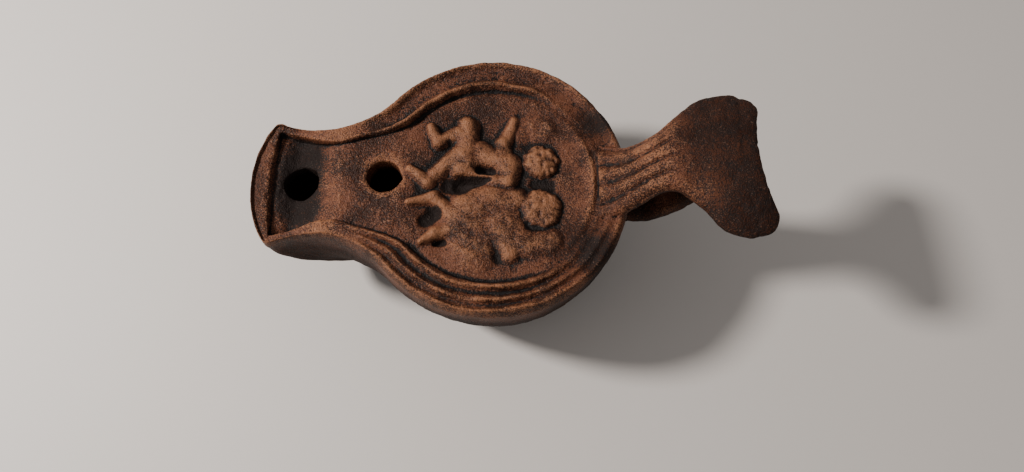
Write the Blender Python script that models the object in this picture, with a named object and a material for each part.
"""Roman oil lamp of moulded fired clay, with relief discus, ring handle and crescent shield.

Frame: origin on the table under the middle of the body, +X towards the handle, +Z up, metres.
The lamp is one hollow piece: body, nozzle, handle and shield were joined wet and fired together.
"""
import math

import bmesh
import bpy
import numpy as np
from mathutils import Vector
from mathutils.geometry import delaunay_2d_cdt

# Body
BODY_RADIUS = 0.0345
BODY_BULGE = 0.0007
NECK_FULLNESS = 0.0045
RIM_HEIGHT = 0.0360
EDGE_DROP = 0.0030
FOOT_RADIUS = 0.0190
FOOT_GROOVE_RADIUS = 0.0160
FOOT_GROOVE_WIDTH = 0.0016
FOOT_GROOVE_DEPTH = 0.0008
WALL = 0.0034

# Nozzle, seen from above
NECK_X = 0.0445
NECK_HALF_WIDTH = 0.0143
NOZZLE_REACH = 0.0607
NOZZLE_END_RADIUS = 0.0283
NOZZLE_CORNER_RADIUS = 0.0020
UNDERSIDE_ROUNDING = 0.0090
END_RIM_WIDTH = 0.0062
NOZZLE_FALL = 0.0020

# Framing ridges and the sunken top
RIM_BAND = 0.0087
NECK_BAND = 0.0048
TIP_BAND = 0.0024
RIDGE_GROOVE = 0.0020
DISCUS_DEPTH = 0.0034
DISCUS_DISH = 0.0014
WICK_PAN_DEPTH = 0.0030
WICK_PAN_LENGTH = 0.0125
FLOOR_STEP = 0.0012
FLOOR_CLEAR = 0.0006

# Holes
WICK_HOLE_RADIUS = 0.0045
WICK_HOLE_X = -0.0482
WICK_HOLE_Y = 0.0007
FILL_HOLE_RADIUS = 0.0044
FILL_HOLE_X = -0.0273
FILL_HOLE_Y = 0.0017
FILL_NICK = 0.0022

# Relief on the discus
FIGURE_LENGTH = 0.0370
FIGURE_HEIGHT = 0.0022
LIMB_SPREAD = 1.14
LIMB_ROUND = 0.8

# Ring handle
STRAP_HALF_WIDTH = 0.0078
STRAP_ROOT_HALF_WIDTH = 0.0104
STRAP_THICKNESS = 0.0050
STRAP_RISE = 0.0118
RIB_COUNT = 4
RIB_DEPTH = 0.0014
FINGER_HOLE_LENGTH = 0.0108
FINGER_HOLE_HEIGHT = 0.0125
ARM_HALF_WIDTH = 0.0066
ARM_THICKNESS = 0.0056

# Crescent shield over the handle
SHIELD_HALF_WIDTH = 0.0182
SHIELD_THICKNESS = 0.0046
SHIELD_LENGTH = 0.0267
SHIELD_ARCH = 0.0030
SHIELD_NOTCH = 0.0024
SHIELD_SKEW = 0.0018
HORN_ROUND = 0.0040

# Facets around curves
BODY_ARC_STEPS = 26
NECK_ARC_STEPS = 9
CORNER_ARC_STEPS = 3
END_ARC_STEPS = 5
FLANK_STEPS = 9
CAVITY_STEPS = 7
STRAP_ACROSS = 17
STRAP_ALONG = 22
ARM_ACROSS = 7
ARM_ALONG = 12
HOLE_SIDES = 24

# Depth of the top below the ridges, against the share of the band's width from its outer edge
RIM_SECTION = ((0.00, EDGE_DROP), (0.08, 0.0009), (0.18, 0.0), (0.30, 0.0008),
               (0.38, RIDGE_GROOVE), (0.52, 0.0013), (0.64, 0.0010), (0.78, 0.0002),
               (0.90, 0.0010), (1.00, DISCUS_DEPTH - DISCUS_DISH))
# Shares of the band's width between which its top lies level along the nozzle
BAND_TOP = (0.18, 0.78)

# The two figures, in shares of FIGURE_LENGTH from the middle of the discus. Each limb runs from
# one (x, y, radius, height) to the next, and heights are shares of FIGURE_HEIGHT.
UPPER_FIGURE = {
    "head": ((0.328, 0.160, 0.118, 1.08),),
    "raised arm": ((0.075, 0.300, 0.052, 0.80), (0.150, 0.470, 0.036, 0.62)),
    "upper arm": ((0.075, 0.190, 0.065, 0.90), (0.060, 0.300, 0.050, 0.80)),
    "far wing": ((0.240, 0.400, 0.100, 0.40), (0.340, 0.390, 0.090, 0.34)),
    "chest": ((0.090, 0.140, 0.090, 0.95), (-0.090, 0.250, 0.068, 0.90)),
    "belly": ((-0.060, 0.180, 0.060, 0.62), (-0.190, 0.150, 0.070, 0.72)),
    "side": ((0.110, 0.010, 0.060, 0.88), (0.120, 0.130, 0.080, 0.90)),
    "near arm": ((-0.210, 0.085, 0.046, 0.92), (0.100, 0.000, 0.050, 0.88)),
    "hand": ((-0.215, 0.090, 0.058, 0.92),),
    "thigh": ((-0.165, 0.420, 0.068, 0.95), (-0.205, 0.130, 0.094, 1.00)),
    "knee": ((-0.185, 0.440, 0.058, 0.80),),
    "shin": ((-0.240, 0.370, 0.058, 0.88), (-0.370, 0.300, 0.046, 0.80)),
    "foot": ((-0.370, 0.300, 0.044, 0.80), (-0.425, 0.410, 0.034, 0.78)),
    "second leg": ((-0.230, 0.215, 0.070, 0.92), (-0.400, 0.065, 0.050, 0.80)),
    "second foot": ((-0.560, 0.100, 0.030, 0.72), (-0.440, 0.010, 0.052, 0.82)),
}
LOWER_FIGURE = {
    "head": ((0.318, -0.190, 0.140, 1.15),),
    "shoulders": ((0.150, -0.120, 0.085, 0.95), (-0.020, -0.100, 0.095, 1.00)),
    "back": ((-0.020, -0.140, 0.110, 1.00), (-0.170, -0.165, 0.110, 1.00)),
    "trunk": ((-0.160, -0.260, 0.130, 0.86), (0.120, -0.230, 0.110, 0.80)),
    "drapery": ((-0.130, -0.450, 0.165, 0.80), (-0.190, -0.290, 0.165, 0.92)),
    "drapery fall": ((0.060, -0.300, 0.110, 0.80), (-0.020, -0.420, 0.090, 0.55)),
    "arm": ((0.055, -0.345, 0.076, 0.95), (0.115, -0.505, 0.066, 0.84)),
    "elbow": ((0.185, -0.430, 0.095, 0.74), (0.150, -0.330, 0.100, 0.80)),
    "far arm": ((0.250, -0.420, 0.105, 0.70), (0.370, -0.415, 0.085, 0.62)),
    "shin": ((-0.270, -0.240, 0.062, 0.86), (-0.395, -0.105, 0.050, 0.85)),
    "toes": ((-0.395, -0.105, 0.050, 0.82), (-0.560, -0.145, 0.024, 0.66)),
    "second shin": ((-0.260, -0.320, 0.066, 0.86), (-0.370, -0.360, 0.050, 0.78)),
    "second foot": ((-0.370, -0.360, 0.048, 0.78), (-0.470, -0.430, 0.026, 0.62)),
}


def catmull_rom(points, count):
    """Points spaced evenly by number along a smooth curve through the given rows."""
    rows = np.array(points, dtype=float)
    rows = np.vstack((2 * rows[0] - rows[1], rows, 2 * rows[-1] - rows[-2]))
    place = np.linspace(0, len(points) - 1, count)
    start = np.minimum(place.astype(int), len(points) - 2)
    t = (place - start)[:, None]
    a, b, c, d = (rows[start + k] for k in range(4))
    return 0.5 * (2 * b + (c - a) * t + (2 * a - 5 * b + 4 * c - d) * t ** 2
                  + (3 * b - a - 3 * c + d) * t ** 3)


def smooth_share(value, low, high):
    """0 below low, 1 above high, and an S curve between."""
    t = np.clip((value - low) / (high - low), 0.0, 1.0)
    return t * t * (3 - 2 * t)


def arc(centre, radius, start, end, steps):
    """Points along an arc, without its last one."""
    angle = np.linspace(start, end, steps + 1)[:-1]
    return np.column_stack((centre[0] + radius * np.cos(angle), centre[1] + radius * np.sin(angle)))


def direction(start, end):
    return math.atan2(end[1] - start[1], end[0] - start[0])


def lamp_outline(inset=0.0, softer=0.0):
    """Closed outline of body and nozzle: body circle, hollow neck, rounded corner and end arc.

    The neck arc touches the body circle, and the corner arc touches the neck and end arcs. An
    inset moves every arc inwards and keeps the number of points; softer adds to the corner.
    """
    gap = NECK_X ** 2 + NECK_HALF_WIDTH ** 2 - BODY_RADIUS ** 2
    neck_radius = gap / (2 * (BODY_RADIUS - NECK_HALF_WIDTH))
    neck_centre = (-NECK_X, NECK_HALF_WIDTH + neck_radius)
    end_centre = (NOZZLE_END_RADIUS - NOZZLE_REACH, 0.0)
    corner = max(NOZZLE_CORNER_RADIUS, inset / 3) + softer
    from_neck = neck_radius + inset + corner
    from_end = NOZZLE_END_RADIUS - inset - corner
    span = math.dist(neck_centre, end_centre)
    along = (from_neck ** 2 - from_end ** 2 + span ** 2) / (2 * span)
    aside = math.sqrt(max(from_neck ** 2 - along ** 2, 0.0))
    to_end = direction(neck_centre, end_centre)
    corner_centre = (neck_centre[0] + along * math.cos(to_end) + aside * math.sin(to_end),
                     neck_centre[1] + along * math.sin(to_end) - aside * math.cos(to_end))
    touch = direction((0, 0), neck_centre)
    neck_out = direction(neck_centre, corner_centre)
    end_out = direction(end_centre, corner_centre)
    half = np.vstack((
        arc((0, 0), BODY_RADIUS - inset, 0.0, touch, BODY_ARC_STEPS),
        arc(neck_centre, neck_radius + inset, touch - math.pi, neck_out, NECK_ARC_STEPS),
        arc(corner_centre, corner, neck_out + math.pi, end_out, CORNER_ARC_STEPS),
        arc(end_centre, NOZZLE_END_RADIUS - inset, end_out, math.pi, END_ARC_STEPS),
        [(end_centre[0] - NOZZLE_END_RADIUS + inset, 0.0)],
    ))
    return np.vstack((half, half[-2:0:-1] * (1, -1)))


def body_share(x):
    """1 on the round body, 0 along the nozzle."""
    return smooth_share(x, -0.85 * NECK_X, -0.70 * BODY_RADIUS)


def tip_share(x):
    """0 on the body and neck, 1 at the nozzle's flared end."""
    return smooth_share(-x, 0.90 * NECK_X, 1.15 * NECK_X)


def recess_outline():
    """Inner edge of the framing band: wide about the discus, narrower along the neck and at the
    nozzle's end, and cut straight across behind the end rim."""
    x = lamp_outline()[:, 0]
    body, tip = body_share(x)[:, None], tip_share(x)[:, None]
    inner = body * lamp_outline(RIM_BAND) + (1 - body) * lamp_outline(NECK_BAND)
    inner = (1 - tip) * inner + tip * lamp_outline(TIP_BAND)
    pan_back = END_RIM_WIDTH - NOZZLE_REACH
    behind = np.flatnonzero(inner[:, 0] < pan_back)
    first, last = inner[behind[0] - 1], inner[behind[-1] + 1]
    share = np.linspace(0.0, 1.0, len(behind) + 2)[1:-1]
    inner[behind, 0] = pan_back
    inner[behind, 1] = first[1] + (last[1] - first[1]) * share
    return inner


def limb_height(x, y, start, end):
    """Height of a limb with a round back, whose radius and height run from start to end."""
    ax, ay, ar, ah = start
    bx, by, br, bh = end
    run = max((bx - ax) ** 2 + (by - ay) ** 2, 1e-9)
    t = np.clip(((x - ax) * (bx - ax) + (y - ay) * (by - ay)) / run, 0.0, 1.0)
    away = np.hypot(x - ax - t * (bx - ax), y - ay - t * (by - ay))
    radius = LIMB_SPREAD * (ar + t * (br - ar))
    return (ah + t * (bh - ah)) * np.clip(1 - (away / radius) ** 2, 0.0, 1.0) ** LIMB_ROUND


def relief_height(x, y):
    """Height of the two figures over the discus floor."""
    u = x / FIGURE_LENGTH
    v = y / FIGURE_LENGTH
    height = np.zeros_like(u)
    for figure in (UPPER_FIGURE, LOWER_FIGURE):
        for ends in figure.values():
            height = np.maximum(height, limb_height(u, v, ends[0], ends[-1]))
    return FIGURE_HEIGHT * height


def floor_height(x, y):
    """Sunken floor: dished discus with its relief, bridge, and the pan about the wick hole."""
    floor_radius = BODY_RADIUS - RIM_BAND
    dish = DISCUS_DISH * smooth_share(np.hypot(x, y), 0.55 * floor_radius, floor_radius)
    pan_start = END_RIM_WIDTH - NOZZLE_REACH + WICK_PAN_LENGTH
    pan = 1 - smooth_share(x, pan_start - 0.0015, pan_start + 0.0030)
    depth = (DISCUS_DEPTH - dish) * (1 - pan) + WICK_PAN_DEPTH * pan
    return RIM_HEIGHT - NOZZLE_FALL * tip_share(x) - depth + relief_height(x, y)


def bowl_ring(phi, wall=0.0):
    """Ring of the bowl at angle phi: from the foot at 0 to the outline at a quarter turn.

    The nozzle's corners are rounder lower down. A wall takes the ring in, square to the bowl.
    """
    outline = lamp_outline(wall * math.sin(phi), (1 - math.sin(phi)) * UNDERSIDE_ROUNDING)
    foot = outline / np.linalg.norm(outline, axis=1)[:, None] * (FOOT_RADIUS - wall / 2)
    side = RIM_HEIGHT - EDGE_DROP
    full = NECK_FULLNESS * np.exp(-((outline[:, :1] / NECK_X + 0.75) / 0.25) ** 2)
    bulge = 1 + (BODY_BULGE * math.sin(2 * phi) ** 2 + full * math.sin(2 * phi)) / BODY_RADIUS
    flat = foot + (outline - foot) * (math.sin(phi) * bulge)
    height = side * (1 - math.cos(phi)) + wall * math.cos(phi)
    return np.column_stack((flat, np.full(len(flat), height)))


def new_mesh_object(name, bm, collection):
    mesh = bpy.data.meshes.new(name)
    bm.normal_update()
    bm.to_mesh(mesh)
    bm.free()
    thing = bpy.data.objects.new(name, mesh)
    collection.objects.link(thing)
    return thing


def add_ring(bm, points):
    return [bm.verts.new(Vector(point)) for point in points]


def join_rings(bm, lower, upper):
    """Band of quads between two rings that run anticlockwise, faces out."""
    count = len(lower)
    for k in range(count):
        after = (k + 1) % count
        bm.faces.new((lower[k], lower[after], upper[after], upper[k]))


def fill_floor(bm, rim_ring):
    """Fill the recess with an even triangle grid that carries the relief."""
    edge = np.array([vert.co[:2] for vert in rim_ring])
    low, high = edge.min(axis=0), edge.max(axis=0)
    gx, gy = np.meshgrid(np.arange(low[0], high[0], FLOOR_STEP),
                         np.arange(-high[1], high[1] + FLOOR_STEP, FLOOR_STEP))
    gx, gy = gx.ravel(), gy.ravel()
    inside = np.zeros(len(gx), dtype=bool)
    near = np.full(len(gx), 1.0)
    for (x0, y0), (x1, y1) in zip(edge, np.roll(edge, -1, axis=0)):
        crosses = (y0 > gy) != (y1 > gy)
        slope = (x1 - x0) / (y1 - y0) if y1 != y0 else 0.0
        inside ^= crosses & (gx < x0 + (gy - y0) * slope)
        run, rise = x1 - x0, y1 - y0
        t = np.clip(((gx - x0) * run + (gy - y0) * rise) / (run ** 2 + rise ** 2), 0.0, 1.0)
        near = np.minimum(near, np.hypot(gx - x0 - t * run, gy - y0 - t * rise))
    keep = inside & (near > FLOOR_CLEAR)
    grid = np.column_stack((gx[keep], gy[keep]))
    points = [Vector(p) for p in np.vstack((edge, grid))]
    loop = [(k, (k + 1) % len(edge)) for k in range(len(edge))]
    flat, _, faces, origin, _, _ = delaunay_2d_cdt(points, loop, [], 1, 1e-7)
    height = floor_height(*np.array([p[:] for p in flat]).T)
    verts = []
    for place, z, source in zip(flat, height, origin):
        on_edge = [k for k in source if k < len(edge)]
        verts.append(rim_ring[on_edge[0]] if on_edge else bm.verts.new((place[0], place[1], z)))
    for face in faces:
        bm.faces.new([verts[k] for k in face])


def build_body(collection):
    """Outer skin: foot, bowl and nozzle, framing ridges, and the floor with its relief."""
    bm = bmesh.new()
    outer = lamp_outline()
    circle = outer / np.linalg.norm(outer, axis=1)[:, None]
    half_groove = FOOT_GROOVE_WIDTH / 2
    rings = []
    for radius, height in ((FOOT_GROOVE_RADIUS - half_groove, 0.0),
                           (FOOT_GROOVE_RADIUS, FOOT_GROOVE_DEPTH),
                           (FOOT_GROOVE_RADIUS + half_groove, 0.0)):
        rings.append(add_ring(bm, np.column_stack((circle * radius, np.full(len(circle), height)))))
    for phi in np.linspace(0.0, math.pi / 2, FLANK_STEPS + 1)[:-1]:
        rings.append(add_ring(bm, bowl_ring(phi)))
    inner = recess_outline()
    pan = floor_height(*inner.T)
    share = body_share(outer[:, 0])
    for across, drop in RIM_SECTION:
        flat = outer + (inner - outer) * across
        calm = np.interp(across, (0.0, *BAND_TOP, 1.0), (EDGE_DROP, 0.0, 0.0, DISCUS_DEPTH))
        fall = NOZZLE_FALL * tip_share(outer[:, 0]) * min(across / BAND_TOP[0], 1.0)
        height = RIM_HEIGHT - fall - (calm + (drop - calm) * share)
        if across == 1.0:
            height = pan
        rings.append(add_ring(bm, np.column_stack((flat, height))))
    bm.faces.new(list(reversed(rings[0])))
    for lower, upper in zip(rings, rings[1:]):
        join_rings(bm, lower, upper)
    fill_floor(bm, rings[-1])
    return new_mesh_object("oil_lamp", bm, collection)


def build_cavity(collection):
    """Oil chamber: the bowl's form taken in by the wall, under a ceiling a wall below the floor."""
    bm = bmesh.new()
    outer = lamp_outline()
    side = RIM_HEIGHT - EDGE_DROP
    share = body_share(outer[:, 0])
    nozzle_depth = NOZZLE_FALL + WICK_PAN_DEPTH
    depth = nozzle_depth + (DISCUS_DEPTH - nozzle_depth) * share
    top_cos = (side - (RIM_HEIGHT - depth - WALL)) / (side - WALL)
    rings = []
    for step in np.linspace(0.0, 1.0, CAVITY_STEPS + 1):
        phi = np.arccos(top_cos) * step
        rows = [bowl_ring(p, WALL)[k] for k, p in enumerate(phi)]
        rings.append(add_ring(bm, rows[::2]))
    bm.faces.new(list(reversed(rings[0])))
    for lower, upper in zip(rings, rings[1:]):
        join_rings(bm, lower, upper)
    bm.faces.new(rings[-1])
    bmesh.ops.triangulate(bm, faces=[face for face in bm.faces if len(face.verts) > 4])
    return new_mesh_object("oil_chamber", bm, collection)


def strap(name, path, across, collection, arch=0.0, notch=0.0, skew=0.0):
    """Band carried along a path in the X-Z plane.

    Rows of path hold x and z of the middle, the widths to the left and to the right, thickness,
    rib depth and end share. The sides are round, the upper face carries the ribs, and arch lowers
    both sides as a square law. At the end, notch hollows it and skew trims its left side.
    """
    rows = np.asarray(path)
    tangent = np.gradient(rows[:, :2], axis=0)
    tangent /= np.linalg.norm(tangent, axis=1)[:, None]
    side = np.sin(np.linspace(-math.pi / 2, math.pi / 2, across))
    bm = bmesh.new()
    loops = []
    for (x, z, left, right, thick, rib, cut), (tx, tz) in zip(rows, tangent):
        half = (left + right) / 2
        round_off = np.sqrt(np.clip(1 - side ** 2, 0.0, 1.0)) ** 0.6
        rib_wave = rib * (1 - np.abs(np.sin(side * RIB_COUNT * math.pi / 2))) * round_off
        fall = arch * (half / SHIELD_HALF_WIDTH) ** 2 * side ** 2
        up = thick / 2 * round_off - rib_wave
        down = thick / 2 * round_off
        trim = cut * (notch * (1 - side ** 2) + skew * (1 + side) / 2)
        middle = np.column_stack((x - trim, side * half + (left - right) / 2, z - fall))
        normal = np.array((-tz, 0.0, tx))
        top = add_ring(bm, middle + up[:, None] * normal)
        under = [bm.verts.new(Vector(p)) for p in (middle - down[:, None] * normal)[1:-1]]
        loops.append((top, [top[0]] + under + [top[-1]]))
    for (top, under), (next_top, next_under) in zip(loops, loops[1:]):
        for k in range(across - 1):
            bm.faces.new((top[k], next_top[k], next_top[k + 1], top[k + 1]))
            bm.faces.new((under[k + 1], next_under[k + 1], next_under[k], under[k]))
    for (top, under), flip in ((loops[0], False), (loops[-1], True)):
        for k in range(across - 1):
            face = [top[k], top[k + 1], under[k + 1], under[k]]
            corners = list(dict.fromkeys(face))
            bm.faces.new(corners[::-1] if flip else corners)
    bmesh.ops.recalc_face_normals(bm, faces=bm.faces)
    return new_mesh_object(name, bm, collection)


def build_strap(collection):
    """Ribbed strap that rises from the shoulder and widens into the shield."""
    start = BODY_RADIUS - RIM_BAND
    bend = BODY_RADIUS + 0.45 * FINGER_HOLE_LENGTH
    end = bend + SHIELD_LENGTH
    top = RIM_HEIGHT + STRAP_RISE
    root, waist, widest = STRAP_ROOT_HALF_WIDTH, STRAP_HALF_WIDTH, SHIELD_HALF_WIDTH
    thick = STRAP_THICKNESS
    half = thick / 2
    plate = SHIELD_THICKNESS
    path = [
        (start + 0.0012, RIM_HEIGHT + 0.0004 - half, root, root, thick, RIB_DEPTH, 0),
        (start + 0.0045, RIM_HEIGHT + 0.0016 - half, 0.90 * root, 0.92 * root, thick, RIB_DEPTH, 0),
        (start + 0.0085, RIM_HEIGHT + 0.45 * STRAP_RISE - half, 0.97 * waist, 1.10 * waist, thick,
         RIB_DEPTH, 0),
        (bend, top - 0.0018 - half, 1.05 * waist, 0.90 * waist, thick, RIB_DEPTH, 0),
        (bend + 0.16 * SHIELD_LENGTH, top - half, 0.63 * widest, 0.40 * widest, thick,
         0.5 * RIB_DEPTH, 0),
        (bend + 0.35 * SHIELD_LENGTH, top + 0.0008 - half, 0.86 * widest, 0.61 * widest, plate, 0, 0.1),
        (bend + 0.54 * SHIELD_LENGTH, top + 0.0014 - half, 0.98 * widest, 0.90 * widest, plate, 0, 0.4),
        (bend + 0.75 * SHIELD_LENGTH, top + 0.0018 - half, 1.02 * widest, widest, plate, 0, 0.8),
        (end - HORN_ROUND, top + 0.0018 - half, 0.96 * widest, 0.99 * widest, plate, 0, 1),
    ]
    rows = catmull_rom(path, STRAP_ALONG)
    tip = np.linspace(0, math.pi / 2, 5)[1:]
    last = rows[-1]
    horns = [np.array((last[0] + HORN_ROUND * math.sin(a), last[1],
                       last[2] - HORN_ROUND * (1 - math.cos(a)),
                       last[3] - HORN_ROUND * (1 - math.cos(a)),
                       last[4] * (0.55 + 0.45 * math.cos(a)), 0, 1 + 0.1 * math.sin(a))) for a in tip]
    return strap("handle_strap", np.vstack([rows] + horns), STRAP_ACROSS, collection,
                 SHIELD_ARCH, SHIELD_NOTCH, SHIELD_SKEW)


def build_arm(collection):
    """Lower arm of the ring: out of the body's side, round the finger hole, up to the shield."""
    roof = RIM_HEIGHT + STRAP_RISE - STRAP_THICKNESS
    sill = roof - FINGER_HOLE_HEIGHT - 0.0028
    half = ARM_THICKNESS / 2
    near = BODY_RADIUS
    far = near + FINGER_HOLE_LENGTH
    width, thick = ARM_HALF_WIDTH, ARM_THICKNESS
    path = [
        (near - 0.0035, sill - 0.0042, width, width, thick, 0, 0),
        (near + 0.0005, sill - 0.0040, width, width, thick, 0, 0),
        (near + 0.50 * FINGER_HOLE_LENGTH, sill - half, width, width, thick, 0, 0),
        (far - 0.0008, sill + 0.0020, width, width, thick, 0, 0),
        (far + 0.8 * half, sill + 0.0075, width, width, thick, 0, 0),
        (far + 1.3 * half, sill + FINGER_HOLE_HEIGHT, width, width, thick, 0, 0),
        (far + 1.4 * half, roof + 0.4 * STRAP_THICKNESS, width, width, thick, 0, 0),
    ]
    return strap("handle_arm", catmull_rom(path, ARM_ALONG), ARM_ACROSS, collection)


def hole_cutter(name, x, y, radius, collection):
    """Upright round punch through the top wall into the oil chamber."""
    bm = bmesh.new()
    depth = WICK_PAN_DEPTH + 2 * WALL
    bmesh.ops.create_cone(bm, cap_ends=True, segments=HOLE_SIDES, radius1=radius, radius2=radius,
                          depth=2 * depth)
    bmesh.ops.translate(bm, vec=(x, y, RIM_HEIGHT), verts=bm.verts)
    return new_mesh_object(name, bm, collection)


def nick_cutter(collection):
    """Small three-sided chip in the edge of the filling hole, towards the figures."""
    bm = bmesh.new()
    bmesh.ops.create_cone(bm, cap_ends=True, segments=3, radius1=FILL_NICK / 2, radius2=FILL_NICK,
                          depth=WALL)
    bmesh.ops.translate(bm, verts=bm.verts,
                        vec=(FILL_HOLE_X + FILL_HOLE_RADIUS, FILL_HOLE_Y, RIM_HEIGHT - DISCUS_DEPTH))
    return new_mesh_object("chip", bm, collection)


def fired_clay():
    material = bpy.data.materials.new("fired_clay")
    material.use_nodes = True
    shader = material.node_tree.nodes["Principled BSDF"]
    shader.inputs["Base Color"].default_value = (0.105, 0.042, 0.020, 1.0)
    shader.inputs["Roughness"].default_value = 0.62
    shader.inputs["Metallic"].default_value = 0.0
    return material


def combine(target, other, operation):
    step = target.modifiers.new(other.name, "BOOLEAN")
    step.operation = operation
    step.solver = "EXACT"
    step.object = other


def main():
    for thing in list(bpy.data.objects):
        bpy.data.objects.remove(thing, do_unlink=True)
    lamp_parts = bpy.data.collections.new("roman_oil_lamp")
    cutters = bpy.data.collections.new("cutters")
    for collection in (lamp_parts, cutters):
        bpy.context.scene.collection.children.link(collection)

    lamp = build_body(lamp_parts)
    lamp.data.materials.append(fired_clay())
    for other in (build_strap(cutters), build_arm(cutters)):
        combine(lamp, other, "UNION")
    combine(lamp, build_cavity(cutters), "DIFFERENCE")
    combine(lamp, hole_cutter("wick_hole", WICK_HOLE_X, WICK_HOLE_Y, WICK_HOLE_RADIUS, cutters),
            "DIFFERENCE")
    combine(lamp, hole_cutter("filling_hole", FILL_HOLE_X, FILL_HOLE_Y, FILL_HOLE_RADIUS, cutters),
            "DIFFERENCE")
    combine(lamp, nick_cutter(cutters), "DIFFERENCE")
    lamp.data.shade_smooth()
    lamp.data.set_sharp_from_angle(angle=math.radians(35))
    for cutter in cutters.objects:
        cutter.hide_render = True
        cutter.display_type = "WIRE"


main()
